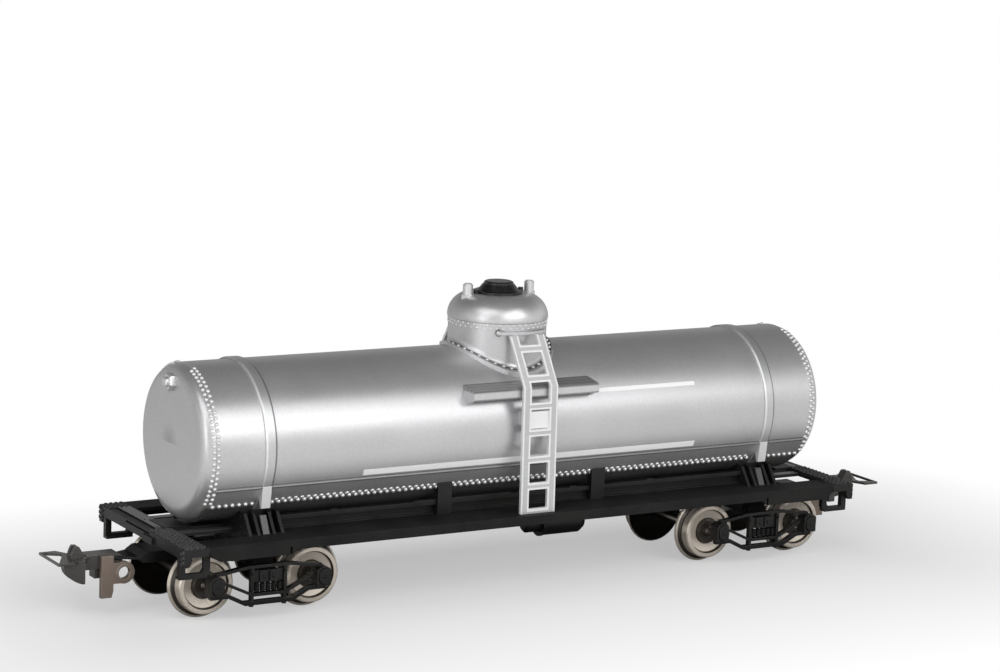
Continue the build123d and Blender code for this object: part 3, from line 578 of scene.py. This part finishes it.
def tank_rivets():
    """Two staggered columns round each head's joint, from near the top to the belly seam."""
    top, bottom, step = 76.0, -40.0, 4.4
    belly_edge = -27.0
    shell_step = 0.15
    spots = []
    for end in (-1, 1):
        for row, x in enumerate((57.47, 58.15)):
            into = max(0.0, x - SHELL_X)
            sunk = KNUCKLE - math.sqrt(KNUCKLE ** 2 - into ** 2)
            radius = TANK_R - shell_step * (into > 0) - sunk
            for i in range(int((top - bottom) / step) + 1):
                for side in (-1, 1):
                    angle = top - (i + 0.5 * row) * step
                    proud = BELLY if angle < belly_edge and not into else 0.0
                    point, normal = on_tank(end * x, angle, side, radius + proud)
                    spots.append((point, (end * into / KNUCKLE, normal[1], normal[2])))
    return round_heads(spots, 0.33, 0.26)


def belly_rivets():
    """A row of large heads along each side of the belly sheet, and smaller ones above it."""
    pitch = 1.161
    count = 99
    band_gap = 1.4
    radius = TANK_R + BELLY
    large = []
    small = []
    for side in (-1, 1):
        for i in range(count):
            x = (i - (count - 1) / 2) * pitch
            if abs(abs(x) - TRUCK_X) > band_gap:
                large.append(on_tank(x, -42.5, side, radius))
            # The small ones stop at the bands.
            if abs(x + pitch / 2) < TRUCK_X - band_gap:
                small.append(on_tank(x + pitch / 2, -39.9, side, radius))
    return join(round_heads(large, 0.36, 0.32), round_heads(small, 0.36, 0.2))


def foot_rivets():
    """Rivets round the dome's foot, on the flare just inside the raised rim."""
    count = 40
    radius = DOME_R + 0.62
    flare = TANK_R + 0.3 + 0.1
    spots = []
    for i in range(count):
        a = 2 * math.pi * (i + 0.5) / count
        x = radius * math.cos(a)
        y = radius * math.sin(a)
        up = math.sqrt(flare ** 2 - y ** 2)
        tilt = Vector((0, y, up)).normalized()
        spots.append(((x, y, AXIS_Z + up), tuple(tilt)))
    return round_heads(spots, 0.32, 0.3)


def cap_rivets():
    """Two staggered rows round the dome, below its cap."""
    count = 46
    spots = []
    for row, z in enumerate((CAP_Z - 0.75, CAP_Z - 1.3)):
        for i in range(count):
            a = 2 * math.pi * (i + 0.5 * row) / count
            n = (math.cos(a), math.sin(a), 0.0)
            spots.append(((DOME_R * n[0], DOME_R * n[1], z), n))
    return round_heads(spots, 0.2, 0.14)


def coil(x, y, z0, z1, radius=0.33, wire=0.165, turns=4.5):
    """One spring as a swept wire."""
    around = 6
    steps = int(turns * 12)
    verts = []
    faces = []
    for i in range(steps + 1):
        t = i / steps
        a = 2 * math.pi * turns * t
        rise = z0 + wire + (z1 - z0 - 2 * wire) * t
        c = Vector((x + radius * math.cos(a), y + radius * math.sin(a), rise))
        outward = Vector((math.cos(a), math.sin(a), 0))
        for k in range(around):
            b = 2 * math.pi * k / around
            verts.append(c + outward * wire * math.cos(b) + Vector((0, 0, wire * math.sin(b))))
    for i in range(steps):
        for k in range(around):
            m = (k + 1) % around
            faces.append((i * around + k, (i + 1) * around + k,
                          (i + 1) * around + m, i * around + m))
    return verts, faces


def spring_coils(sign):
    """Five springs in each side frame."""
    return join(*(coil(sign * TRUCK_X + i, side * 12.9, AXLE_Z - 1.1, AXLE_Z + 0.6)
                  for side in (-1, 1) for i in range(-2, 3)))


TRUCK_BOLTS = (  # x from the truck's middle, y, and z from the axle
    (-2.9, 13.3, 2.2), (-2.9, 13.3, -1.0), (2.9, 13.3, 2.2), (2.9, 13.3, -1.0),
    (-AXLE_X, 14.45, 0.75), (AXLE_X, 14.45, 0.75), (-0.8, 13.2, 1.5), (0.8, 13.2, 1.5),
)
SADDLE_BOLTS = ((-2.8, 16.2), (2.1, 16.2), (-2.8, 14.5), (2.1, 14.5))  # x from the middle, z


def truck_bolts(sign):
    spots = [((sign * TRUCK_X + dx, side * y, AXLE_Z + dz), (0, side, 0))
             for side in (-1, 1) for dx, y, dz in TRUCK_BOLTS]
    return round_heads(spots, 0.28, 0.22)


def saddle_bolts():
    spots = [((x + dx, side * 8.72, z), (0, side, 0.25))
             for x in (-TRUCK_X, TRUCK_X) for side in (-1, 1) for dx, z in SADDLE_BOLTS]
    return round_heads(spots, 0.42, 0.36)


def platform_tread(end):
    """Raised diamonds on an end platform and on the faces of its corner caps."""
    across_pitch = 1.1
    row_pitch = 0.45
    spots = []
    for i in range(8):
        x = FRAME_X - row_pitch - i * row_pitch
        for k in range(30):
            y = -FRAME_Y + 0.5 + (k + 0.5 * (i % 2)) * across_pitch
            # The smooth plank on the far half stays clear.
            if -2.6 < y < 13.4 or y > FRAME_Y - 0.4:
                continue
            # At the right end the CAD's raised plank lies under the diamonds.
            on_plank = end > 0 and -13.2 < y and 60.95 < x < 63.1
            spots.append(((end * x, y, DECK_Z + (PLANK_RISE if on_plank else 0.0)), (0, 0, 1)))
    for side in (-1, 1):
        for i in range(2):
            for k in range(3):
                y = side * (FRAME_Y - 0.35 - 0.7 * i)
                z = DECK_Z - 0.45 - (k + 0.5 * i) * 0.8
                spots.append(((end * FRAME_X, y, z), (end, 0, 0)))
    return round_heads(spots, 0.42, 0.26, sides=4)


def plank_nails(end):
    """Nails of the far half's plank, which the CAD raises at the left end only."""
    z = DECK_Z + (PLANK_RISE if end < 0 else 0.0)
    spots = [((end * x, y, z), (0, 0, 1)) for y in (12.6, 3.4, -1.4) for x in (61.8, 62.7)]
    return round_heads(spots, 0.17, 0.05)


PLUG = (  # radius, x from, x to, bevel and sides of the nut and of its turned boss
    (1.5, 59.7, 60.75, 0.22, 6),
    (0.85, 60.7, 61.35, 0.2, 16),
)


def head_plugs():
    """The six-sided plug on each head, round the CAD's smaller one, with a turned boss."""
    parts = []
    for end in (-1, 1):
        for radius, x0, x1, bevel, sides in PLUG:
            verts = []
            for r, x in ((radius, x0), (radius, x1 - bevel), (radius - bevel, x1)):
                for i in range(sides):
                    a = 2 * math.pi * (i + 0.25) / sides
                    verts.append((end * x, r * math.cos(a), AXIS_Z + PLUG_RISE + r * math.sin(a)))
            faces = [tuple(range(2 * sides, 3 * sides))] + walls(3, sides)
            parts.append((verts, faces if end > 0 else [face[::-1] for face in faces]))
    return join(*parts)


for name, build in (("tank_head_rivets", tank_rivets), ("belly_seam_rivets", belly_rivets),
                    ("dome_foot_rivets", foot_rivets), ("dome_cap_rivets", cap_rivets)):
    add_mesh(name, *build(), rivet_silver, "car", "silver")
for end, sign in ENDS:
    piece = add_mesh("spring_coils_" + end, *spring_coils(sign), spring_black,
                     "truck_" + end, "black")
    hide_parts("truck_springs_" + end)
for end, sign in ENDS:
    add_mesh("truck_bolts_" + end, *truck_bolts(sign), truck_black, "truck_" + end, "black")
add_mesh("saddle_bolts", *saddle_bolts(), truck_black, "car", "black")
for end, sign in ENDS:
    add_mesh("platform_tread_" + end, *platform_tread(sign), tread_black, "car", "black",
             smooth=False)
    add_mesh("plank_nails_" + end, *plank_nails(sign), spring_black, "car", "black")
add_mesh("head_plugs", *head_plugs(), bright_silver, "car", "silver", smooth=False)


# Floor, light and camera

FLOOR_HALF = 3.0       # metres
CAR_HALF = (70, 14)    # the floor's marks are measured from this rectangle


def stage_floor():
    """White paper whose shadow shows near the car, and dark near it in reflections."""
    s = FLOOR_HALF
    mesh = bpy.data.meshes.new("floor")
    mesh.from_pydata([(-s, -s, 0), (s, -s, 0), (s, s, 0), (-s, s, 0)], [], [(0, 1, 2, 3)])
    obj = bpy.data.objects.new("floor", mesh)
    bpy.context.scene.collection.objects.link(obj)
    g = Graph("floor_paper")
    x, y, _ = g.xyz()
    path = g.node("ShaderNodeLightPath")
    eye = path.outputs["Is Camera Ray"]
    mirrored = g.most(path.outputs["Is Glossy Ray"], path.outputs["Is Transmission Ray"])
    dx = g.most(g.minus(g.size(x), CAR_HALF[0] * MM), 0.0)
    dy = g.most(g.minus(g.size(y), CAR_HALF[1] * MM), 0.0)
    away = g.length(dx, dy)
    # To the eye the paper turns plain white away from the car.
    seen = g.times(g.ramp_mm(away, 0.0, 60, 0.45, 1.0), eye)
    # In reflections it is dark under the car and dimmer behind it.
    clear = g.ramp_mm(away, 6, 36)
    behind = g.times(g.ramp_mm(y, -20, 110, 1.0, 0.38), g.ramp_mm(x, -20, 120, 1.0, 0.65))
    shown = g.times(clear, behind, mirrored)
    paper = g.mix(g.most(clear, eye), grey(0.10), grey(0.88))
    g.set(color=paper, rough=0.9, specular=0.1)
    white = g.node("ShaderNodeEmission")
    white.inputs["Strength"].default_value = 1.0
    both = g.node("ShaderNodeMixShader")
    g.put(g.plus(seen, shown), both.inputs[0])
    g.put(g.bsdf.outputs[0], both.inputs[1])
    g.put(white.outputs[0], both.inputs[2])
    g.put(both.outputs[0], g.out.inputs["Surface"])
    obj.data.materials.append(g.mat)


def world_light():
    """White at the horizon, dimmer overhead and dimmer behind, and plain white to the eye."""
    world = bpy.data.worlds.new("studio")
    bpy.context.scene.world = world
    world.use_nodes = True
    w = Nodes(world.node_tree)
    split = w.node("ShaderNodeSeparateXYZ")
    w.put(w.node("ShaderNodeTexCoord").outputs["Generated"], split.inputs[0])
    path = w.node("ShaderNodeLightPath")
    eye = path.outputs["Is Camera Ray"]
    seen = w.most(w.most(eye, path.outputs["Is Glossy Ray"]), path.outputs["Is Transmission Ray"])
    rise = w.ramp(split.outputs["Z"], 0.12, 0.75, 1.0, 0.08, kind="SMOOTHSTEP")
    level = w.ramp(seen, 0.0, 1.0, 0.8, 1.0)
    behind = w.ramp(split.outputs["Y"], 0.0, 0.6, 1.0, 0.42)
    back = world.node_tree.nodes["Background"]
    back.inputs["Color"].default_value = (1.0, 1.0, 1.0, 1.0)
    w.put(w.times(rise, w.times(level, w.most(behind, eye))), back.inputs["Strength"])


def soft_box(name, direction, distance, width, height, radiance, centre=(0.0, 0.0, 25.0)):
    """A rectangular lamp that faces a centre; its power follows from the wanted radiance."""
    data = bpy.data.lights.new(name, "AREA")
    data.shape = "RECTANGLE"
    data.size = width * MM
    data.size_y = height * MM
    data.energy = radiance * math.pi * width * height * MM * MM
    obj = bpy.data.objects.new(name, data)
    d = Vector(direction).normalized()
    place = (Vector(centre) + d * distance) * MM
    obj.matrix_world = Matrix.Translation(place) @ d.to_track_quat("Z", "Y").to_matrix().to_4x4()
    bpy.context.scene.collection.objects.link(obj)


# The photograph's camera, fitted to the track and the model
YAW, PITCH, ROLL = 31.09, 9.91, 2.27   # degrees
PLACE_MM = (-250.36, -416.26, 125.89)
FOCAL_PX = 2912.88
CENTRE_PX = (499.96, 335.99)
IMAGE_PX = (1000, 672)
SENSOR = 36.0


def photo_camera():
    a, e, r = (math.radians(v) for v in (YAW, PITCH, ROLL))
    forward = Vector((math.sin(a) * math.cos(e), math.cos(a) * math.cos(e), -math.sin(e)))
    level_right = Vector((math.cos(a), -math.sin(a), 0.0))
    level_up = level_right.cross(forward)
    right = level_right * math.cos(r) + level_up * math.sin(r)
    up = level_up * math.cos(r) - level_right * math.sin(r)
    data = bpy.data.cameras.new("photo_camera")
    data.sensor_width = SENSOR
    data.lens = FOCAL_PX / IMAGE_PX[0] * SENSOR
    data.shift_x = (IMAGE_PX[0] / 2 - CENTRE_PX[0]) / IMAGE_PX[0]
    data.shift_y = (CENTRE_PX[1] - IMAGE_PX[1] / 2) / IMAGE_PX[0]
    data.clip_start = 0.01
    data.clip_end = 20.0
    camera = bpy.data.objects.new("photo_camera", data)
    axes = Matrix((right, up, -forward)).transposed().to_4x4()
    camera.matrix_world = Matrix.Translation(Vector(PLACE_MM) * MM) @ axes
    bpy.context.scene.collection.objects.link(camera)
    return camera


stage_floor()
world_light()
soft_box("key", (0.50, -0.70, 0.51), 650, 580, 360, 2.5, centre=(-285.0, -66.0, -8.0))
soft_box("front", (-0.58, -0.38, 0.70), 600, 480, 260, 1.9)
soft_box("left_fill", (-0.75, -0.45, 0.45), 700, 260, 260, 0.9)
soft_box("left_strip", (-0.90, -0.42, 0.16), 450, 70, 240, 3.0)
bpy.context.scene.camera = photo_camera()

bpy.context.scene.view_settings.view_transform = "Standard"
